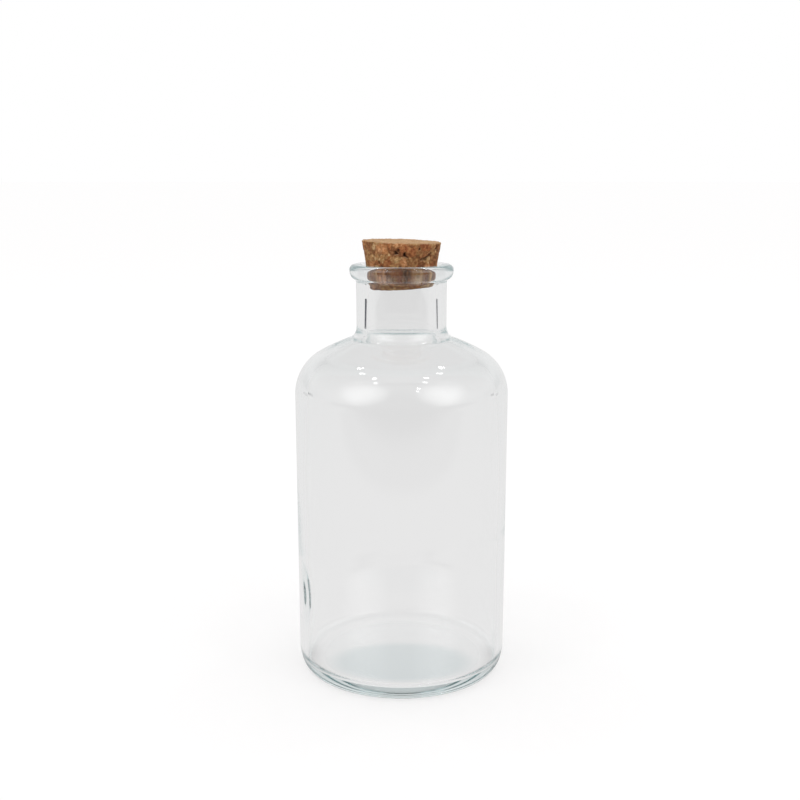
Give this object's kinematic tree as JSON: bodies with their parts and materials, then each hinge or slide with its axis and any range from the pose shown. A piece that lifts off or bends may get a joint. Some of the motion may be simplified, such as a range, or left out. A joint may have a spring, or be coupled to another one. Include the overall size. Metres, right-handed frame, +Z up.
{
  "type": "corked bottle",
  "caption": "Round clear glass bottle with a rounded shoulder, a straight neck and a beaded lip, closed by a tapered cork that pulls out.",
  "frame": {"origin": "on the bottle's axis, in the plane of the ring that it stands on", "axes": "+Z up along the bottle's axis towards the cork; the object is round, so +X and +Y are free"},
  "size_m": [0.08, 0.08, 0.1649],
  "materials": {
    "clear_glass": "smooth clear soda-lime glass with a faint blue-green tint in the thick base",
    "agglomerated_cork": "matt pressed cork granules, tan with reddish-brown and dark grains"
  },
  "bodies": {
    "bottle": {"glass_bottle": "clear_glass"},
    "cork": {"cork_stopper": "agglomerated_cork"}
  },
  "joints": [
    {"name": "cork_pull", "type": "slide", "parent": "bottle", "child": "cork", "axis": [0, 0, 1], "range_m": [0, 0.05]}
  ]
}
